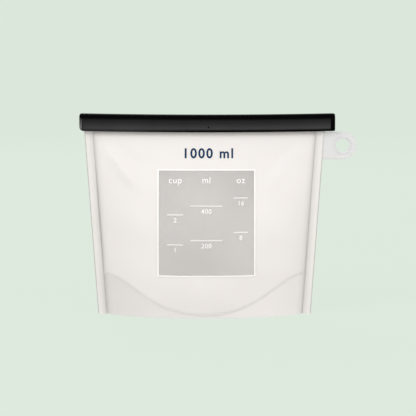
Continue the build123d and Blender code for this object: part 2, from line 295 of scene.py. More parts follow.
# ---------------------------------------------------------------- finishes
@dataclass(frozen=True)
class Finish:
    """A moulded or printed finish: its tones, gloss, grain, how much passes through it and a shade tone for
    painted shade.
    """

    name: str
    slot: str
    tone: Colour
    second_tone: Colour
    blotch_scale: float = 22.0
    roughness: tuple[float, float] = (0.42, 0.56)
    grain_scale: float = 1400.0
    grain_depth: float = 0.03 * MM
    alpha: tuple[float, float] = (1.0, 1.0)
    subsurface: float = 0.0
    specular: float = 0.5
    coat: float = 0.0
    # tone of the painted shade that the piece's shade attribute mixes in
    shade_tone: Colour | None = None

    def material(self) -> bpy.types.Material:
        """Builds the finish's node tree, once.

        Returns:
            The material.
        """
        name = f"{self.name}_finish"
        known = bpy.data.materials.get(name)
        if known is not None:
            return known
        made = bpy.data.materials.new(name)
        made.use_nodes = True
        tree = made.node_tree
        shader = tree.nodes["Principled BSDF"]
        blotch = self.noise(tree, self.blotch_scale, 4.0)
        grain = self.noise(tree, self.grain_scale, 6.0)
        colour = self.tones(tree, blotch)
        tree.links.new(colour, shader.inputs["Base Color"])
        tree.links.new(self.ranged(tree, grain, self.roughness), shader.inputs["Roughness"])
        bump = tree.nodes.new("ShaderNodeBump")
        bump.inputs["Strength"].default_value = 1.0
        bump.inputs["Distance"].default_value = self.grain_depth
        tree.links.new(grain, bump.inputs["Height"])
        tree.links.new(bump.outputs["Normal"], shader.inputs["Normal"])
        if self.alpha[0] == self.alpha[1]:
            shader.inputs["Alpha"].default_value = self.alpha[0]
        else:
            tree.links.new(self.ranged(tree, blotch, self.alpha), shader.inputs["Alpha"])
        shader.inputs["Specular IOR Level"].default_value = self.specular
        shader.inputs["IOR"].default_value = 1.41
        shader.inputs["Coat Weight"].default_value = self.coat
        shader.inputs["Coat Roughness"].default_value = 0.12
        shader.inputs["Subsurface Weight"].default_value = self.subsurface
        shader.inputs["Subsurface Radius"].default_value = (1.0, 0.9, 0.8)
        shader.inputs["Subsurface Scale"].default_value = 3 * MM
        return made

    def noise(self, tree: bpy.types.NodeTree, scale: float, detail: float) -> bpy.types.NodeSocket:
        """A noise pattern that is fixed to the piece.

        Args:
            tree: the node tree to add it to.
            scale: how many features to a metre.
            detail: how many finer layers.

        Returns:
            The pattern's output.
        """
        coordinates = tree.nodes.new("ShaderNodeTexCoord")
        pattern = tree.nodes.new("ShaderNodeTexNoise")
        pattern.inputs["Scale"].default_value = scale
        pattern.inputs["Detail"].default_value = detail
        tree.links.new(coordinates.outputs["Object"], pattern.inputs["Vector"])
        return pattern.outputs["Fac"]

    def ranged(
        self, tree: bpy.types.NodeTree, pattern: bpy.types.NodeSocket, limits: tuple[float, float]
    ) -> bpy.types.NodeSocket:
        """Turns a pattern into a number between two limits.

        Args:
            tree: the node tree.
            pattern: the pattern's output.
            limits: the numbers at the pattern's low and high end.

        Returns:
            The number's output.
        """
        span = tree.nodes.new("ShaderNodeMapRange")
        span.inputs["From Min"].default_value = 0.3
        span.inputs["From Max"].default_value = 0.7
        span.inputs["To Min"].default_value = limits[0]
        span.inputs["To Max"].default_value = limits[1]
        tree.links.new(pattern, span.inputs["Value"])
        return span.outputs["Result"]

    def tones(self, tree: bpy.types.NodeTree, blotch: bpy.types.NodeSocket) -> bpy.types.NodeSocket:
        """Mixes the two tones by the blotches, and darkens them towards the shade tone by the piece's painted
        shade attribute.

        Args:
            tree: the node tree.
            blotch: the pattern's output.

        Returns:
            The colour's output.
        """
        share = self.ranged(tree, blotch, (0.0, 1.0))
        mixed = self.mix(tree, share, (*self.tone, 1.0), (*self.second_tone, 1.0))
        if self.shade_tone is None:
            return mixed
        shade = tree.nodes.new("ShaderNodeAttribute")
        shade.attribute_name = SHADE
        return self.mix(tree, shade.outputs["Fac"], mixed, (*self.shade_tone, 1.0))

    def mix(
        self,
        tree: bpy.types.NodeTree,
        share: bpy.types.NodeSocket,
        first: tuple[float, ...] | bpy.types.NodeSocket,
        second: tuple[float, ...],
    ) -> bpy.types.NodeSocket:
        """Mixes two colours, the first of which may be another node's output.

        Args:
            tree: the node tree to add it to.
            share: how much of the second.
            first: a colour or an output.
            second: a colour.

        Returns:
            The mixed colour's output.
        """
        blend = tree.nodes.new("ShaderNodeMix")
        blend.data_type = "RGBA"
        tree.links.new(share, blend.inputs["Factor"])
        if isinstance(first, tuple):
            blend.inputs["A"].default_value = first
        else:
            tree.links.new(first, blend.inputs["A"])
        blend.inputs["B"].default_value = second
        return blend.outputs["Result"]


FROSTED = Finish(
    "frosted_silicone",
    "frosted_silicone",
    tone=(0.931, 0.902, 0.882),
    second_tone=(0.863, 0.836, 0.817),
    blotch_scale=15.0,
    alpha=(0.82, 0.89),
    subsurface=0.15,
    grain_depth=0.02 * MM,
    # tone of the walls' painted shade: by the seams, below the floor, along the floor's bond and under the
    # bar
    shade_tone=(0.60, 0.585, 0.575),
)
SEAM = Finish(
    "seam_silicone",
    "seam_silicone",
    tone=(0.88, 0.86, 0.84),
    second_tone=(0.83, 0.81, 0.795),
    blotch_scale=30.0,
    alpha=(0.80, 0.88),
    roughness=(0.28, 0.40),
    subsurface=0.1,
    grain_depth=0.012 * MM,
    # tone of the seams' painted shade
    shade_tone=(0.42, 0.41, 0.40),
)
TAB = Finish(
    "tab_silicone",
    "frosted_silicone",
    tone=(0.81, 0.79, 0.82),
    second_tone=(0.765, 0.745, 0.77),
    blotch_scale=60.0,
    alpha=(0.46, 0.54),
    roughness=(0.34, 0.46),
    grain_depth=0.015 * MM,
)
CLEAR = Finish(
    "clear_silicone",
    "clear_silicone",
    tone=(0.95, 0.945, 0.935),
    second_tone=(0.84, 0.835, 0.83),
    blotch_scale=26.0,
    alpha=(0.19, 0.27),
    roughness=(0.10, 0.18),
    grain_scale=700.0,
    grain_depth=0.006 * MM,
    coat=0.3,
)
# near-white tone of the raised marks and the window's frame: their pale silicone, brightened by a painted
# glint
RAISED = Finish(
    "raised_silicone",
    "raised_silicone",
    tone=(0.99, 0.985, 0.98),
    second_tone=(0.95, 0.945, 0.94),
    blotch_scale=90.0,
    alpha=(0.92, 0.98),
    roughness=(0.18, 0.28),
    grain_depth=0.01 * MM,
)
INK = Finish(
    "navy_ink",
    "navy_ink",
    tone=(0.001, 0.030, 0.080),
    second_tone=(0.002, 0.038, 0.094),
    blotch_scale=300.0,
    roughness=(0.45, 0.58),
    grain_depth=0.008 * MM,
    specular=0.2,
)
PLASTIC = Finish(
    "black_plastic",
    "black_plastic",
    tone=(0.050, 0.050, 0.051),
    second_tone=(0.040, 0.040, 0.041),
    blotch_scale=34.0,
    roughness=(0.46, 0.58),
    grain_scale=2600.0,
    grain_depth=0.02 * MM,
    specular=0.035,
    # near-black tone for the bar's painted shade
    shade_tone=(0.0006, 0.0006, 0.0006),
)
# a lighter copy of the black plastic for the cap: painted light on the left end, which faces the light
LIT_CAP_PLASTIC = replace(
    PLASTIC, name="black_plastic_painted_lit", tone=(0.165, 0.165, 0.166), second_tone=(0.135, 0.135, 0.136)
)


def shade_by(piece: bpy.types.Object, share: Callable[[Vector], float]) -> None:
    """Writes how much painted shade, in the finish's shade tone, lies at each point of a piece.

    Args:
        piece: the finished mesh.
        share: gives a point's share, from 0 to 1.
    """
    shade = piece.data.attributes.new(SHADE, "FLOAT", "POINT")
    shade.data.foreach_set("value", [share(vertex.co) for vertex in piece.data.vertices])


def settle(
    piece: bpy.types.Object, body: str, finish: Finish, *nodes: str, angle: float = 38
) -> bpy.types.Object:
    """Dresses a finished piece, fixes it to its body and lets it stand for CAD nodes.

    Args:
        piece: the finished mesh.
        body: the CAD body that carries it.
        finish: its finish.
        nodes: the CAD nodes that it stands for.
        angle: the largest angle that is shaded smoothly, in degrees.

    Returns:
        The piece.
    """
    smooth_shade(piece, angle)
    piece.data.materials.clear()
    piece.data.materials.append(finish.material())
    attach(piece, body)
    if nodes:
        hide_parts(*nodes)
    log.info("%s rides on %s, %d faces", piece.name, body, len(piece.data.polygons))
    return piece


# ---------------------------------------------------------------- the bag's form
@dataclass(frozen=True)
class PouchForm:
    """The lofted form that both walls share. Lengths are in metres."""

    base_width: float = 193.8 * MM
    mouth_width: float = 218.2 * MM
    fold_z: float = 176.4 * MM
    neck_z: float = 162.0 * MM
    seam_width: float = 8.2 * MM
    wall: float = 1.1 * MM
    base_bulge: float = 26.4 * MM
    bulge: Profile = (
        (0.000, 1.000),
        (0.125, 1.095),
        (0.280, 1.135),
        (0.460, 1.060),
        (0.640, 0.835),
        (0.790, 0.535),
        (0.900, 0.255),
        (0.962, 0.090),
        (1.000, 0.010),
    )
    floor_end: float = 37.0 * MM
    floor_low: float = 2.7 * MM
    floor_gap: float = 0.8 * MM
    wave: float = 0.40
    ripple: float = 0.20
    back_phase: float = 2.1
    calm_neck: float = 22 * MM
    creases: tuple[tuple[Hand, float], ...] = ((Hand.LEFT, 1.5), (Hand.RIGHT, 0.8))
    crease_height: float = 1.5
    crease_start: tuple[float, float] = (92 * MM, 158 * MM)
    crease_run: tuple[float, float] = (-0.62, -0.785)

    def half_width(self, z: float) -> float:
        """Half the bag's width at a height, seams included."""
        return (self.base_width + (self.mouth_width - self.base_width) * z / self.fold_z) / 2

    def panel_half(self, z: float) -> float:
        """Half the width between the two seams at a height."""
        return self.half_width(z) - self.seam_width

    def depth(self, z: float) -> float:
        """How far the middle of a wall stands out at a height."""
        share = z / self.neck_z
        return self.base_bulge * spline(self.bulge, share) if share < 1 else 0.0

    def across(self, t: float) -> float:
        """Where a share of a wall's curve lies between its seams, from -1 to 1."""
        return -((1 - t) ** 3) - 1.8 * (1 - t) ** 2 * t + 1.8 * (1 - t) * t * t + t**3

    def share_at(self, x: float, z: float) -> float:
        """The share of a wall's curve that lies at a place across.

        Args:
            x: the place across.
            z: the height.

        Returns:
            The share, from 0 at the left seam to 1 at the right one.
        """
        wanted = min(1.0, max(-1.0, x / self.panel_half(z)))
        low, high = 0.0, 1.0
        for _ in range(26):
            middle = (low + high) / 2
            if self.across(middle) < wanted:
                low = middle
            else:
                high = middle
        return (low + high) / 2

    def relief(self, x: float, z: float, t: float, side: Side) -> float:
        """Soft waves and corner creases of the sheet.

        Args:
            x: the place across.
            z: the height.
            t: the share of the wall's curve.
            side: which wall.

        Returns:
            How far the sheet stands out from its plain form.
        """
        calm = min(1.0, 8 * t * (1 - t)) * smooth_step(self.neck_z - z, 0, self.calm_neck)
        phase = 0.0 if side is Side.FRONT else self.back_phase
        waves = self.wave * math.sin(x * 52 + 3 * z * 30 + phase) * math.sin(z * 61 + phase)
        waves += self.ripple * math.sin(x * 118 - z * 74 + 1.3 + phase)
        creases = 0.0
        for hand, strength in self.creases:
            corner = Vector((hand.value * self.crease_start[0], self.crease_start[1]))
            run = Vector((hand.value * self.crease_run[0], self.crease_run[1]))
            offset = Vector((x, z)) - corner
            along = offset.dot(run)
            aside = offset.dot(Vector((-run.y, run.x))) * hand.value
            fade = smooth_step(along, 2 * MM, 14 * MM) * (1 - smooth_step(along, 34 * MM, 62 * MM))
            ridge = bump(aside, 0.0, 6.5 * MM) - 0.8 * bump(aside, -11 * MM, 7 * MM)
            creases += strength * self.crease_height * fade * ridge
        return (waves + creases) * calm * MM

    def stand_out(self, x: float, z: float, side: Side) -> float:
        """How far a wall's inner face stands out at a place."""
        t = self.share_at(x, z)
        return 4 * t * (1 - t) * self.depth(z) + self.relief(x, z, t, side)

    def wall_point(self, t: float, z: float, side: Side, lift: float) -> Vector:
        """A point of a wall.

        Args:
            t: the share of its curve.
            z: the height.
            side: which wall.
            lift: how far outside the inner face.

        Returns:
            The point.
        """
        x = self.across(t) * self.panel_half(z)
        out = 4 * t * (1 - t) * self.depth(z) + self.relief(x, z, t, side) + lift
        return Vector((x, side.value * out, z))

    def draped(self, x: float, z: float, lift: float, side: Side = Side.FRONT) -> Vector:
        """A point over a wall's outer face, at a place and a height above the face."""
        return Vector((x, side.value * (self.stand_out(x, z, side) + self.wall + lift), z))

    def floor_half(self) -> float:
        """Half the length of the floor between its pointed ends."""
        return self.panel_half(self.floor_end) - self.floor_gap

    def floor_point(self, share: float) -> tuple[float, float]:
        """The floor's curve seen from the front.

        Args:
            share: from 0 at the left end to 1 at the right one.

        Returns:
            The place across and the height.
        """
        half = self.floor_half()
        near = 2 * min(share, 1 - share)
        low, high = self.floor_low, self.floor_end
        a, b, c, d = (1 - near) ** 3, 3 * (1 - near) ** 2 * near, 3 * (1 - near) * near**2, near**3
        x = -half * (a + 0.73 * b + 0.55 * c)
        z = high * (a + b) + low * (c + d)
        return (x if share < 0.5 else -x, z)

    def floor_height(self, x: float) -> float:
        """The height of the floor's curve at a place across."""
        low, high = 0.0, 0.5
        for _ in range(20):
            middle = (low + high) / 2
            if self.floor_point(middle)[0] < -abs(x):
                low = middle
            else:
                high = middle
        return self.floor_point((low + high) / 2)[1]


FORM = PouchForm()


# ---------------------------------------------------------------- the walls
@dataclass
class Walls:
    """The two walls, the clear window in the front one and its raised frame."""

    columns: int = 150
    rows: int = 128
    window_low: tuple[float, float] = (0.0, 0.0)
    window_high: tuple[float, float] = (0.0, 0.0)
    frame_width: float = 1.3 * MM
    frame_raise: float = 0.45 * MM
    # strengths and reaches of the painted shade: by the seams, along the groove, on the flap below the floor,
    # in a shadow line along the floor's bond and in a shadow line under the bar
    edge_shade: float = 0.30
    edge_reach: float = 9 * MM
    groove_shade: float = 0.75
    groove_reach: float = 2.2 * MM
    flap_shade: float = 0.30
    floor_line_shade: float = 0.42
    floor_line_drop: float = -0.5 * MM
    floor_line_width: float = 1.1 * MM
    bar_line_shade: float = 0.70
    bar_line_z: float = 165.6 * MM
    bar_line_width: float = 2.2 * MM

    def __post_init__(self) -> None:
        """Takes the window's place from its CAD node."""
        low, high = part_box("front_window")
        self.window_low = (low.x, low.z)
        self.window_high = (high.x, high.z)

    def sheet(self, name: str, side: Side) -> bpy.types.Object:
        """A wall's outer face, from the ground to the mouth's fold.

        Args:
            name: the sheet's name.
            side: which wall.

        Returns:
            The sheet, facing outwards.
        """

        def point(u: float, v: float) -> Vector:
            """One point of the sheet."""
            t = u if side is Side.FRONT else 1 - u
            return FORM.wall_point(t, v * FORM.fold_z, side, FORM.wall)

        return loft(name, self.columns, self.rows, point)

    def in_window(self, point: Vector, grow: float = 0.0) -> bool:
        """Whether a point lies in the window, grown by a border."""
        across = self.window_low[0] - grow < point.x < self.window_high[0] + grow
        return across and self.window_low[1] - grow < point.z < self.window_high[1] + grow

    def build(self) -> None:
        """Builds the walls, the window and its frame."""
        front = self.sheet("front_wall", Side.FRONT)
        cut_rectangle(front, self.window_low, self.window_high)
        keep_faces(front, lambda middle: not self.in_window(middle))
        thicken(front, FORM.wall, -1)
        shade_by(front, self.wall_shade)
        settle(front, "pouch", FROSTED, "front_panel", angle=50)

        window = self.sheet("clear_window", Side.FRONT)
        cut_rectangle(window, self.window_low, self.window_high)
        keep_faces(window, self.in_window)
        thicken(window, FORM.wall, -1)
        settle(window, "pouch", CLEAR, "front_window", angle=50)

        border = self.sheet("window_frame", Side.FRONT)
        width = self.frame_width
        outer_low = (self.window_low[0] - width, self.window_low[1] - width)
        outer_high = (self.window_high[0] + width, self.window_high[1] + width)
        cut_rectangle(border, self.window_low, self.window_high)
        cut_rectangle(border, outer_low, outer_high)
        keep_faces(border, lambda middle: self.in_window(middle, width) and not self.in_window(middle))
        thicken(border, self.frame_raise, 1)
        soften_edges(border, 0.2 * MM, 3)
        settle(border, "pouch", RAISED, "window_border")

        back = self.sheet("back_wall", Side.BACK)
        thicken(back, FORM.wall, -1)
        shade_by(back, self.wall_shade)
        settle(back, "pouch", FROSTED, "back_panel", angle=50)

    def wall_shade(self, point: Vector) -> float:
        """How much painted shade a wall takes: by the seams, on the flap below the floor, in a shadow line
        along the floor's bond and in a shadow line under the bar.

        Args:
            point: the place on the wall.

        Returns:
            The share of the shade tone.
        """
        inner = FORM.panel_half(point.z) - abs(point.x)
        # painted shade by the seams
        edge = self.edge_shade * (1 - smooth_step(inner, 0, self.edge_reach)) ** 2
        # painted shadow along the groove by the seam
        groove = self.groove_shade * (1 - smooth_step(inner, 0, self.groove_reach))
        groove *= Seams.groove_shadow_strength(point)
        reach = point.x / FORM.floor_half()
        under = FORM.floor_height(point.x) - point.z
        # painted shade on the flap below the floor, full at the left end and gone towards the right
        below = self.flap_shade * (1 - smooth_step(reach, -0.9, 0.5))
        below *= smooth_step(under, -0.6 * MM, 1.4 * MM)
        # painted shadow line just above the floor's bond
        line = 0.0
        if abs(reach) < 0.985:
            line = self.floor_line_shade * bump(under, self.floor_line_drop, self.floor_line_width)
        # painted shadow line just under the bar
        neck = self.bar_line_shade * bump(point.z, self.bar_line_z, self.bar_line_width)
        return min(1.0, edge + groove + below + line + neck)


# ---------------------------------------------------------------- the floor
@dataclass
class Floor:
    """The floor sheet folded up between the walls, and the beads that bond it to them."""

    columns: int = 110
    rows: int = 30
    bead: float = 0.75 * MM
    bead_short: float = 0.028
    line: float = 0.38 * MM

    def build(self) -> None:
        """Builds the floor sheet, the inner beads and the witness lines outside."""
        sheet = loft("bottom_floor", self.columns, self.rows, self.sheet_point)
        thicken(sheet, FORM.wall, 1)
        settle(sheet, "pouch", FROSTED, "bottom_gusset", angle=50)
        for side, node in ((Side.FRONT, "front_gusset_weld"), (Side.BACK, "back_gusset_weld")):
            self.build_bead(side, node)
            self.build_line(side)

    def sheet_point(self, u: float, v: float) -> Vector:
        """One point of the floor's underside, with the soft fold along its middle."""
        x, z = FORM.floor_point(0.002 + 0.996 * u)
        front = FORM.stand_out(x, z, Side.FRONT) - 0.1 * MM
        back = FORM.stand_out(x, z, Side.BACK) - 0.1 * MM
        y = -front + (front + back) * v
        crown = math.sin(math.pi * v) ** 2 * 1.1 * MM * smooth_step(front, 2 * MM, 16 * MM)
        return Vector((x, y, z + crown))

    def build_bead(self, side: Side, node: str) -> None:
        """The bead inside the bag, below the floor, that bonds it to one wall."""
        profile = arc((0, 0), self.bead, 0, 360, 10)[:-1]

        def point(first: float, second: float, along: float) -> Vector:
            """One point of the bead."""
            x, z = FORM.floor_point(self.bead_short + (1 - 2 * self.bead_short) * along)
            taper = min(1.0, 0.25 + 12 * along * (1 - along))
            out = FORM.stand_out(x, z, side) - self.bead - 0.1 * MM
            return Vector((x, side.value * (out + taper * first), z - self.bead + taper * second))

        piece = profile_tube(f"{side.name.lower()}_floor_bead", profile, 120, point)
        settle(piece, "pouch", SEAM, node)

    def build_line(self, side: Side) -> None:
        """The fine ridge that the bond leaves on the outside of one wall."""
        profile = arc((0, 0), self.line, 0, 360, 8)[:-1]

        def point(first: float, second: float, along: float) -> Vector:
            """One point of the ridge."""
            x, z = FORM.floor_point(0.01 + 0.98 * along)
            taper = min(1.0, 0.2 + 14 * along * (1 - along))
            return FORM.draped(x, z + taper * second, 0.8 * taper * first, side)

        piece = profile_tube(f"{side.name.lower()}_weld_line", profile, 150, point)
        settle(piece, "pouch", SEAM)


# ---------------------------------------------------------------- the side seams
# strength of the groove's painted shadow: even on the right, and on the left by height in millimetres
RIGHT_GROOVE_SHADOW = 0.55
LEFT_GROOVE_SHADOW = ((0.0, 0.50), (33.0, 0.48), (69.0, 0.90), (105.0, 0.90), (141.0, 0.50), (170.0, 0.45))


@dataclass
class Seams:
    """The two welded side edges: a rounded rib with a groove along its inner side."""

    half_thickness: Profile = (
        (-0.6, 1.02),
        (-0.1, 0.86),
        (0.35, 0.70),
        (0.9, 0.84),
        (1.5, 1.00),
        (3.5, 1.02),
        (4.3, 1.12),
        (5.4, 1.20),
        (6.8, 1.17),
        (7.6, 0.93),
        (8.05, 0.52),
        (8.2, 0.06),
    )
    steps: int = 30
    rows: int = 90
    # strengths of the painted shade: the groove's shadow, the grey over the web and the dark edge line round
    # the rim
    groove_strength: float = 0.80
    groove_width: float = 0.9
    web_strength: float = 0.22
    rim_strength: float = 0.70

    def profile(self) -> list:
        """The closed outline across the rib, in millimetres: across, then through."""
        first, last = self.half_thickness[0][0], self.half_thickness[-1][0]
        turns = [math.pi / 2 * i / self.steps for i in range(self.steps + 1)]
        places = [first + (last - first) * math.sin(turn) for turn in turns]
        near = [(s, -spline(self.half_thickness, s)) for s in places]
        far = [(s, -h) for s, h in reversed(near)]
        return near + far

    def build(self) -> None:
        """Builds both seams."""
        for hand, node in ((Hand.LEFT, "left_side_seam"), (Hand.RIGHT, "right_side_seam")):
            self.build_one(hand, node)

    def build_one(self, hand: Hand, node: str) -> None:
        """Builds the seam at one end of the bag."""

        def point(across: float, through: float, along: float) -> Vector:
            """One point of the rib."""
            z = along * FORM.fold_z
            x = hand.value * (FORM.panel_half(z) + across * MM)
            swell = 1 - 0.03 * (1 + math.sin(z * 140 + hand.value))
            return Vector((x, through * swell * MM, z))

        piece = profile_tube(f"{hand.name.lower()}_edge_rib", self.profile(), self.rows, point)
        shade_by(piece, self.groove_shade)
        settle(piece, "pouch", SEAM, node, angle=60)

    def groove_shade(self, point: Vector) -> float:
        """How much painted shade the rib takes: a shadow along the groove by the panel, a grey over the web
        that darkens towards the groove, and a dark edge line round the rim.
        """
        across = (abs(point.x) - FORM.panel_half(point.z)) / MM
        groove = self.groove_strength * self.groove_shadow_strength(point) * bump(across, 0.0, self.groove_width)
        web = self.web_strength * (1 - smooth_step(across, 1.0, 6.0))
        rim = self.rim_strength * smooth_step(across, 7.0, 7.8)
        return min(1.0, groove + web + rim)

    @staticmethod
    def groove_shadow_strength(point: Vector) -> float:
        """How strongly the groove's painted shadow shows: evenly on the right, and on the left by its height.
        """
        if point.x > 0:
            return RIGHT_GROOVE_SHADOW
        return spline(LEFT_GROOVE_SHADOW, point.z / MM)


# ---------------------------------------------------------------- marks on the front
@dataclass(frozen=True)
class Column:
    """One column of the measuring scale: its middle, line length, title and steps, in millimetres."""

    node: str
    title: str
    middle: float
    length: float
    steps: tuple[tuple[float, str], ...]


@dataclass
class Marks:
    """The raised measuring scales over the window and the printed capacity above it."""

    columns: tuple[Column, ...] = (
        Column("cups_scale", "cup", -26.2, 15.0, ((93.1, "2"), (66.7, "1"))),
        Column("millilitre_scale", "ml", 1.8, 29.6, ((101.0, "400"), (70.6, "200"))),
        Column("ounce_scale", "oz", 32.6, 13.4, ((108.0, "16"), (77.6, "8"))),
    )
    line_width: float = 0.9 * MM
    rise: float = 0.35 * MM
    numeral: float = 4.2 * MM
    numeral_drop: float = 6.6 * MM
    title: float = 5.6 * MM
    title_base: float = 121.0 * MM
    print_size: float = 8.6 * MM
    print_middle: float = 3.2 * MM
    print_base: float = 143.0 * MM
    print_rise: float = 0.12 * MM
    cap_share: float = 0.72

    def build(self) -> None:
        """Builds the three scales and the print."""
        for column in self.columns:
            self.build_column(column)
        words = self.lettering("capacity_lettering", "1000 ml", self.print_size, self.print_rise, 0.024, 1.2)
        self.drape(words, self.print_middle, self.print_base)
        settle(words, "pouch", INK, "capacity_print")

    def lettering(
        self, name: str, words: str, height: float, rise: float, heft: float, spacing: float
    ) -> bpy.types.Object:
        """Raised letters that lie flat on the ground plane, ready to be draped.

        Args:
            name: the piece's name.
            words: what they say.
            height: the height of a capital.
            rise: how far they stand out.
            heft: how much their strokes are fattened, as a share of their size.
            spacing: the room between letters, 1 being the usual.

        Returns:
            The letters as a mesh.
        """
        deselect_everything()
        bpy.ops.object.text_add()
        text = bpy.context.active_object
        text.name = name
        text.data.body = words
        text.data.size = height / self.cap_share
        text.data.align_x = "CENTER"
        text.data.extrude = rise / 2
        text.data.offset = heft * text.data.size
        text.data.space_character = spacing
        text.data.resolution_u = 5
        bpy.ops.object.convert(target="MESH")
        piece = bpy.context.active_object
        open_edit(piece)
        bpy.ops.mesh.remove_doubles(threshold=MERGE)
        close_edit()
        return piece

    def drape(self, piece: bpy.types.Object, middle: float, base: float) -> None:
        """Lays flat letters over the front wall, centred on a place and standing on a height."""
        lowest = min(vertex.co.z for vertex in piece.data.vertices)
        for vertex in piece.data.vertices:
            lift = vertex.co.z - lowest
            vertex.co = FORM.draped(middle + vertex.co.x, base + vertex.co.y, lift - 0.03 * MM)

    def build_column(self, column: Column) -> None:
        """Builds one column: its title, and a line and a numeral for each step."""
        middle = column.middle * MM
        parts = [self.lettering(f"{column.node}_title", column.title, self.title, self.rise, 0.012, 1.1)]
        self.drape(parts[0], middle, self.title_base)
        for height, numeral in column.steps:
            parts.append(self.line(f"{column.node}_line", middle, height * MM, column.length * MM))
            figures = self.lettering(f"{column.node}_numeral", numeral, self.numeral, self.rise, 0.012, 1.1)
            self.drape(figures, middle, height * MM - self.numeral_drop)
            parts.append(figures)
        take_up(parts[0])
        for part in parts:
            part.select_set(True)
        bpy.ops.object.join()
        piece = bpy.context.active_object
        piece.name = f"{column.node}_raised"
        settle(piece, "pouch", RAISED, column.node)

    def line(self, name: str, middle: float, height: float, length: float) -> bpy.types.Object:
        """One graduation line, round-topped and draped over the wall."""
        profile = arc((0, 0), 1.0, 0, 360, 12)[:-1]

        def point(first: float, second: float, along: float) -> Vector:
            """One point of the line."""
            taper = min(1.0, 0.3 + 30 * along * (1 - along))
            x = middle + (along - 0.5) * length
            z = height + first * taper * self.line_width / 2
            return FORM.draped(x, z, second * taper * self.rise)

        return profile_tube(name, profile, 24, point)


# ---------------------------------------------------------------- the folded mouth
@dataclass
class Mouth:
    """The mouth folded back over itself inside the bar: two turns, two lips and a rim bead."""

    fold_y: float = 1.6 * MM
    inner: float = 0.5 * MM
    half: float = 108.8 * MM
    lip_bottom: float = 169.3 * MM
    rim_height: float = 2.4 * MM
    rim_raise: float = 0.6 * MM
    wave: float = 0.12 * MM
    rows: int = 40

    def build(self) -> None:
        """Builds the turns over the fold, and the lips behind them."""
        for name, inner, fold_node, lip_node in (
            ("outer", self.inner + FORM.wall, "front_fold", "front_lip"),
            ("inner", self.inner, "back_fold", "back_lip"),
        ):
            self.build_turn(f"{name}_mouth_turn", inner, fold_node)
            self.build_lip(f"{name}_mouth_lip", inner, lip_node)
        self.build_rim()

    def run(self, along: float) -> float:
        """The place across the bag at a share along the mouth."""
        return -self.half + 2 * self.half * along

    def waved(self, x: float, z: float) -> float:
        """The lip's slight wave at a place, which dies out at the fold."""
        return self.wave * math.sin(x * 70) * smooth_step(FORM.fold_z - z, 0, FORM.fold_z - self.lip_bottom)

    def build_turn(self, name: str, inner: float, node: str) -> None:
        """Half a turn of one sheet over the fold."""
        outer = inner + FORM.wall
        profile = arc((self.fold_y, 0), outer, 180, 0, 16) + arc((self.fold_y, 0), inner, 0, 180, 16)

        def point(y: float, z: float, along: float) -> Vector:
            """One point of the turn."""
            return Vector((self.run(along), y, FORM.fold_z + z))

        piece = profile_tube(name, profile, self.rows, point)
        smooth_shade(piece, 50)
        piece.data.materials.append(FROSTED.material())
        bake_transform(piece)
        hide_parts(node)
        log.info("%s bends from the pouch to the mouth's lip", name)

    def build_lip(self, name: str, inner: float, node: str) -> None:
        """One sheet of the lip that hangs down behind the neck."""
        near = self.fold_y + inner
        far = near + FORM.wall
        low, high = self.lip_bottom, FORM.fold_z
        steps = [low + (high - low) * i / 6 for i in range(7)]
        profile = [(near, z) for z in steps] + [(far, z) for z in reversed(steps)]

        def point(y: float, z: float, along: float) -> Vector:
            """One point of the lip."""
            x = self.run(along)
            return Vector((x, y + self.waved(x, z), z))

        settle(profile_tube(name, profile, self.rows, point), "mouth_lip", FROSTED, node, angle=50)

    def build_rim(self) -> None:
        """The bead along the lip's free edge."""
        near = self.fold_y + self.inner + 2 * FORM.wall - 0.15 * MM
        depth = self.rim_raise + 0.15 * MM
        middle = self.lip_bottom + self.rim_height / 2
        points = arc((0, 0), 1.0, -90, 90, 12)
        profile = [(near + depth * y, middle + self.rim_height / 2 * z) for y, z in points]

        def point(y: float, z: float, along: float) -> Vector:
            """One point of the bead, waved as the lip is."""
            x = self.run(along)
            return Vector((x, y + self.waved(x, z), z))

        settle(profile_tube("mouth_rim_bead", profile, self.rows, point), "mouth_lip", SEAM, "lip_rim")


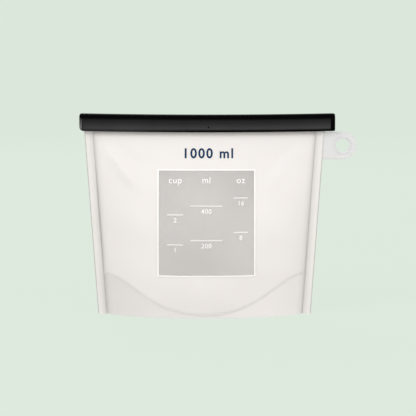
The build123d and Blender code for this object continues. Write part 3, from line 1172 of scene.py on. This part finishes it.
# ---------------------------------------------------------------- the sealing bar
@dataclass
class SealingBar:
    """The black bar: a bowed C-shaped channel, open at its right end and capped at its left."""

    bottom: float = 166.9 * MM
    height: float = 15.6 * MM
    bow: float = 1.2 * MM
    wall: float = 1.8 * MM
    flange: float = 2.0 * MM
    shoulder: float = 4.0 * MM
    foot: float = 1.5 * MM
    slot: float = 1.7 * MM
    lead: float = 4.0 * MM
    lead_flare: float = 0.8 * MM
    corner: float = 3.9 * MM
    end_round: float = 1.5 * MM
    gate: tuple[float, float, float] = (3.6 * MM, 4.5 * MM, 0.8 * MM)
    rungs: int = 7
    cells: int = 56
    # how far the painted gradient darkens the top of the front face
    face_shade: float = 0.66
    near_cap: tuple[float, ...] = (0.0, 0.3, 0.6, 1.0, 1.5, 2.2)
    near_end: tuple[float, ...] = (6.0, 4.8, 4.4, 4.0, 3.6, 3.2, 2.4, 1.5)
    left: float = field(init=False)
    cap_face: float = field(init=False)
    right: float = field(init=False)
    front: float = field(init=False)
    back: float = field(init=False)

    def __post_init__(self) -> None:
        """Takes the bar's outer sizes from its CAD nodes."""
        low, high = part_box("slider_channel")
        self.cap_face, self.right = low.x, high.x
        self.front, self.back = low.y, high.y
        self.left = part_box("slider_end_cap")[0].x

    def outline(self) -> list:
        """The outside of the bar, from the slot's front edge round to its back edge."""
        top, r, f = self.height, self.shoulder, self.foot
        rungs = [f + (top - r - f) * i / self.rungs for i in range(1, self.rungs)]
        points = [(-self.slot, 0.0)]
        points += arc((self.front + f, f), f, 270, 180, 5)
        points += [(self.front, z) for z in rungs]
        points += arc((self.front + r, top - r), r, 180, 90, 10)
        points += [((self.front + self.back) / 2, top)]
        points += arc((self.back - r, top - r), r, 90, 0, 10)
        points += [(self.back, z) for z in reversed(rungs)]
        points += arc((self.back - f, f), f, 0, -90, 5)
        points += [(self.slot, 0.0)]
        return points

    def hollow(self) -> list:
        """The inside of the bar, from the slot's back edge round to its front edge."""
        top, r = self.height - self.wall, self.shoulder - self.wall
        front, back = self.front + self.wall, self.back - self.wall
        points = [(self.slot, self.flange), (back, self.flange)]
        points += arc((back - r, top - r), r, 0, 90, 6)
        points += arc((front + r, top - r), r, 90, 180, 6)
        points += [(front, self.flange), (-self.slot, self.flange)]
        return points

    def sag(self, x: float) -> float:
        """How much lower the bar sits at a place along it than at its ends."""
        middle = (self.left + self.right) / 2
        share = (x - middle) / ((self.right - self.left) / 2)
        return self.bow * (1 - share * share)

    def placed(self, x: float, y: float, z: float, pull: float) -> Vector:
        """A point of the bar, bowed, and pulled in where the bar's ends are rounded.

        Args:
            x: the place along the bar.
            y: the place through it.
            z: the height over its bottom.
            pull: how far the outside is pulled in at this place.

        Returns:
            The point.
        """
        middle_y, middle_z = (self.front + self.back) / 2, self.height / 2
        y -= math.copysign(min(pull, abs(y - middle_y)), y - middle_y)
        z -= math.copysign(min(pull, abs(z - middle_z)), z - middle_z)
        reach = self.corner - (x - self.left)
        if reach > 0:
            lift = self.corner - math.sqrt(max(0.0, self.corner**2 - reach**2))
            z = max(z, lift + 0.12 * z)
        return Vector((x, y, self.bottom + z - self.sag(x)))

    def build(self) -> None:
        """Builds the channel and the cap."""
        outside, inside = self.outline(), self.hollow()
        profile = outside + inside
        marked = [(index, 0.0) for index in range(len(profile))]
        first = self.cap_face + self.near_cap[-1] * MM
        last = self.right - self.near_end[0] * MM
        stations = [self.cap_face + step * MM for step in self.near_cap[:-1]]
        stations += [first + (last - first) * i / self.cells for i in range(self.cells)]
        stations += [self.right - step * MM for step in self.near_end]
        stations += [self.right - self.end_round * (1 - math.sin(math.pi / 2 * i / 5)) for i in range(1, 6)]

        def point(index: float, _: float, along: float) -> Vector:
            """One point of the channel; its slot flares towards the open end."""
            x = stations[round(along * (len(stations) - 1))]
            y, z = profile[int(index)]
            if abs(abs(y) - self.slot) < MERGE and z <= self.flange:
                y += math.copysign(self.lead_flare * max(0.0, 1 - (self.right - x) / self.lead), y)
            outer = int(index) < len(outside)
            beyond = max(0.0, x - (self.right - self.end_round))
            pull = self.end_round - math.sqrt(max(0.0, self.end_round**2 - beyond**2)) if outer else 0.0
            if abs(y) < 3.2 * MM and z <= self.flange:
                pull = 0.0
            return self.placed(x, y, z, 0.8 * pull)

        channel = profile_tube("bar_channel", marked, len(stations) - 1, point)
        soften_edges(channel, 0.22 * MM, 2, 50)
        self.dimple(channel)
        shade_by(channel, self.bar_shade)
        settle(channel, "slider", PLASTIC, "slider_channel", angle=40)
        self.build_cap()

    def dimple(self, channel: bpy.types.Object) -> None:
        """Sinks the small round moulding mark into the middle of the bar's front."""
        x, rise, radius = self.gate
        z = self.bottom + rise - self.sag(x)
        deselect_everything()
        bpy.ops.mesh.primitive_uv_sphere_add(
            segments=24, ring_count=16, radius=1.15 * radius, location=(x, self.front - 0.55 * radius, z)
        )
        ball = bpy.context.active_object
        take_up(channel)
        cut = channel.modifiers.new("gate", "BOOLEAN")
        cut.operation = "DIFFERENCE"
        cut.solver = "EXACT"
        cut.object = ball
        bpy.ops.object.modifier_apply(modifier=cut.name)
        bpy.data.objects.remove(ball)

    def build_cap(self) -> None:
        """The closed end, rounded outside like the channel."""
        profile = self.outline()[1:-1]
        marked = [(index, 0.0) for index in range(len(profile))]
        rounding = 1.9 * MM
        stations = [self.left + rounding * (1 - math.cos(math.pi / 2 * i / 7)) for i in range(8)]
        stations += [self.cap_face]

        def point(index: float, _: float, along: float) -> Vector:
            """One point of the cap."""
            x = stations[round(along * (len(stations) - 1))]
            y, z = profile[int(index)]
            reach = max(0.0, rounding - (x - self.left))
            pull = rounding - math.sqrt(max(0.0, rounding**2 - reach**2))
            return self.placed(x, y, z, 0.8 * pull)

        cap = profile_tube("bar_end_cap", marked, len(stations) - 1, point)
        soften_edges(cap, 0.15 * MM, 2, 50)
        shade_by(cap, self.bar_shade)
        # the cap takes the lighter copy of the plastic, painted light
        settle(cap, "slider", LIT_CAP_PLASTIC, "slider_end_cap", angle=40)

    def bar_shade(self, point: Vector) -> float:
        """How much painted shade the bar takes at a point: painted shade on its top, a painted gradient down
        its front face that is darker upwards, painted shade along its foot, at its right end and inside the
        moulding dimple, and a dark line at the joint with the cap.

        Args:
            point: the place on the bar.

        Returns:
            The share of the shade tone.
        """
        rise = (point.z - self.bottom + self.sag(point.x)) / MM
        # painted shade: the top, which faces up, goes black
        top = smooth_step(rise, 9.6, 12.0)
        # painted gradient down the front face, darker upwards
        face = self.face_shade * smooth_step(rise, 2.0, 10.5)
        # painted shade along the foot, stronger towards the right
        foot = (1 - smooth_step(rise, 1.4, 2.8)) * (0.45 + 0.55 * smooth_step(point.x, -80 * MM, 10 * MM))
        # painted shade on the right end
        end = smooth_step(point.x, self.right - 4.5 * MM, self.right - 3.8 * MM)
        # a dark line at the joint with the cap
        joint = bump(point.x, self.cap_face + 0.3 * MM, 0.5 * MM)
        # painted shade inside the moulding dimple
        gate_x, gate_rise, gate_radius = self.gate
        near = math.hypot(point.x - gate_x, rise * MM - gate_rise) < 1.2 * gate_radius
        gate = 1.0 if near and point.y > self.front + 0.04 * MM else 0.0
        return min(1.0, max(top, face, foot, end, joint, gate))


# ---------------------------------------------------------------- the hang tab
@dataclass
class HangTab:
    """The round-ended tab beside the mouth and the thick rim of its hole."""

    radius: float = 12.4 * MM
    thickness: float = 2.0 * MM
    ring_bore: float = 6.3 * MM
    ring_outer: float = 8.2 * MM
    ring_thickness: float = 2.6 * MM
    root: float = 0.9 * MM
    round_off: float = 0.8 * MM
    bend: float = 6.4 * MM

    def build(self) -> None:
        """Builds the tab and the ring."""
        low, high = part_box("hang_ring")
        centre = (low + high) / 2
        self.build_tab(centre)
        self.build_ring(centre)

    def outline(self, centre: Vector, share: float) -> tuple[float, float]:
        """The tab's edge, all the way round from its lower right.

        Args:
            centre: the middle of the hole.
            share: how far round, from 0 to 1.

        Returns:
            The place across and the height.
        """
        top, foot = centre.z + self.radius, centre.z - self.radius
        root_top = FORM.half_width(top) - self.root
        root_foot = FORM.half_width(foot) - self.root
        if share < 0.4:
            angle = math.radians(-90 + 180 * share / 0.4)
            return centre.x + self.radius * math.cos(angle), centre.z + self.radius * math.sin(angle)
        if share < 0.6:
            along = (share - 0.4) / 0.2
            return centre.x + (root_top - centre.x) * along, top
        if share < 0.8:
            along = (share - 0.6) / 0.2
            return root_top + (root_foot - root_top) * along, top + (foot - top) * along
        along = (share - 0.8) / 0.2
        return root_foot + (centre.x - root_foot) * along, foot

    def section(self) -> list:
        """The tab's section, hole to edge and back: shares out, insets and places through it."""
        half, round_off = self.thickness / 2, self.round_off
        spread = [(share, 0.0, -half) for share in (0.0, 0.2, 0.4, 0.6, 0.8)]
        edge = arc((0, 0), 1.0, -90, 90, 8)
        rim = [(1.0, round_off * (1 - c), half * s) for c, s in edge]
        return spread + rim + [(share, inset, -y) for share, inset, y in reversed(spread)]

    def build_tab(self, centre: Vector) -> None:
        """The flat tab round its hole, with rounded edges."""
        hole = self.ring_outer - 0.5 * MM
        section = self.section()
        count = len(section)

        def point(u: float, v: float) -> Vector:
            """One point of the tab's skin."""
            share, inset, through = section[round(v * count) % count]
            x, z = self.outline(centre, u % 1.0)
            angle = math.atan2(z - centre.z, x - centre.x)
            length = math.hypot(x - centre.x, z - centre.z)
            edge = (self.round_off - inset) * (share == 1.0)
            radius = hole + (length - hole - self.round_off) * share + edge
            return Vector((centre.x + radius * math.cos(angle), through, centre.z + radius * math.sin(angle)))

        tab = loft("hanging_tab", 120, count, point)
        open_edit(tab)
        bpy.ops.mesh.remove_doubles(threshold=MERGE)
        bpy.ops.mesh.normals_make_consistent(inside=False)
        close_edit()
        smooth_shade(tab, 50)
        tab.data.materials.append(TAB.material())
        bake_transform(tab)
        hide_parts("hang_tab")
        log.info("hanging_tab bends from the pouch to the tab's body")

    def build_ring(self, centre: Vector) -> None:
        """The thick rounded rim of the hole."""
        across = (self.ring_outer - self.ring_bore) / 2
        middle = (self.ring_outer + self.ring_bore) / 2

        def point(u: float, v: float) -> Vector:
            """One point of the rim, a squared-off round section."""
            around, turn = 2 * math.pi * u, 2 * math.pi * v
            c, s = math.cos(turn), math.sin(turn)
            r = middle + across * math.copysign(abs(c) ** 0.6, c)
            y = self.ring_thickness / 2 * math.copysign(abs(s) ** 0.6, s)
            return Vector((centre.x + r * math.cos(around), y, centre.z + r * math.sin(around)))

        ring = loft("hanging_ring", 72, 20, point)
        open_edit(ring)
        bpy.ops.mesh.remove_doubles(threshold=MERGE)
        bpy.ops.mesh.normals_make_consistent(inside=False)
        close_edit()
        settle(ring, "hang_tab_body", TAB, "hang_ring", angle=60)


# ---------------------------------------------------------------- the studio
@dataclass
class Studio:
    """A pale round studio, soft lights and the camera."""

    floor_radius: float = 2.4
    cove: float = 0.7
    wall_top: float = 2.6
    paper: Colour = (0.723, 0.814, 0.723)
    glow: float = 0.94
    neutral: Colour = (0.70, 0.685, 0.67)
    target: tuple[float, float, float] = (0.0032, 0.0, 0.0967)
    elevation: float = 6.5
    distance: float = 1.6
    lens: float = 152.7

    def build(self) -> None:
        """Builds the backdrop, the lights and the camera."""
        self.build_backdrop()
        self.build_world()
        self.add_light("key_light", (-1.15, -1.25, 1.45), 1.0, 22.0, (1.0, 0.985, 0.975))
        self.add_light("fill_light", (1.5, -1.2, 0.6), 1.2, 13.0, (1.0, 0.98, 0.975))
        self.add_light("back_light", (-0.4, 1.6, 1.3), 1.0, 12.0, (1.0, 0.98, 0.97))
        self.build_camera()

    def build_backdrop(self) -> None:
        """A round floor that curves up into a wall."""
        stations = [(self.floor_radius * share, 0.0) for share in (0.0, 0.05, 0.15, 0.4, 0.7, 1.0)]
        stations += arc((self.floor_radius, self.cove), self.cove, -80, 0, 10)
        stations += [(self.floor_radius + self.cove, self.wall_top)]

        def point(u: float, v: float) -> Vector:
            """One point of the backdrop."""
            radius, z = stations[round(v * (len(stations) - 1))]
            angle = 2 * math.pi * u
            return Vector((radius * math.cos(angle), radius * math.sin(angle), z))

        floor = loft("studio_floor", 64, len(stations) - 1, point)
        open_edit(floor)
        bpy.ops.mesh.remove_doubles(threshold=MERGE)
        bpy.ops.mesh.normals_make_consistent(inside=True)
        close_edit()
        smooth_shade(floor, 60)
        paper = bpy.data.materials.new("studio_paper")
        paper.use_nodes = True
        shader = paper.node_tree.nodes["Principled BSDF"]
        tree = paper.node_tree
        path = tree.nodes.new("ShaderNodeLightPath")
        tint = tree.nodes.new("ShaderNodeMix")
        tint.data_type = "RGBA"
        tint.inputs["A"].default_value = (*self.neutral, 1.0)
        tint.inputs["B"].default_value = (*self.paper, 1.0)
        tree.links.new(path.outputs["Is Camera Ray"], tint.inputs["Factor"])
        tree.links.new(tint.outputs["Result"], shader.inputs["Emission Color"])
        shader.inputs["Base Color"].default_value = (*[c * (1 - self.glow) for c in self.paper], 1.0)
        shader.inputs["Roughness"].default_value = 1.0
        shader.inputs["Specular IOR Level"].default_value = 0.0
        shader.inputs["Emission Strength"].default_value = self.glow
        floor.data.materials.append(paper)

    def build_world(self) -> None:
        """A dim even sky over the open top."""
        world = bpy.data.worlds.new("studio_air")
        world.use_nodes = True
        world.node_tree.nodes["Background"].inputs["Color"].default_value = (1.0, 0.98, 0.98, 1.0)
        world.node_tree.nodes["Background"].inputs["Strength"].default_value = 0.5
        bpy.context.scene.world = world

    def add_light(
        self, name: str, place: tuple[float, float, float], size: float, power: float, tint: Colour
    ) -> None:
        """A square soft light aimed at the bag.

        Args:
            name: the light's name.
            place: where it stands.
            size: its side.
            power: its power in watts.
            tint: its colour.
        """
        data = bpy.data.lights.new(name, "AREA")
        data.size = size
        data.energy = power
        data.color = tint
        light = bpy.data.objects.new(name, data)
        light.location = place
        light.rotation_euler = (Vector(self.target) - Vector(place)).to_track_quat("-Z", "Y").to_euler()
        bpy.context.scene.collection.objects.link(light)

    def build_camera(self) -> None:
        """The camera, a little above the bag's middle."""
        rise = math.radians(self.elevation)
        back = Vector((0.0, -math.cos(rise), math.sin(rise)))
        data = bpy.data.cameras.new("camera")
        data.lens = self.lens
        data.sensor_width = 36.0
        data.clip_start = 0.05
        data.clip_end = 50.0
        camera = bpy.data.objects.new("camera", data)
        camera.location = Vector(self.target) + back * self.distance
        camera.rotation_euler = (-back).to_track_quat("-Z", "Y").to_euler()
        bpy.context.scene.collection.objects.link(camera)
        bpy.context.scene.camera = camera
        bpy.context.scene.view_settings.view_transform = "Standard"


def main() -> None:
    """Builds every sub-assembly in order, and the studio round them."""
    logging.basicConfig(level=logging.INFO, format="%(message)s")
    for assembly in (Studio(), Walls(), Floor(), Seams(), Marks(), Mouth(), SealingBar(), HangTab()):
        assembly.build()
        log.info("%s done", type(assembly).__name__)


if __name__ == "__main__":
    main()
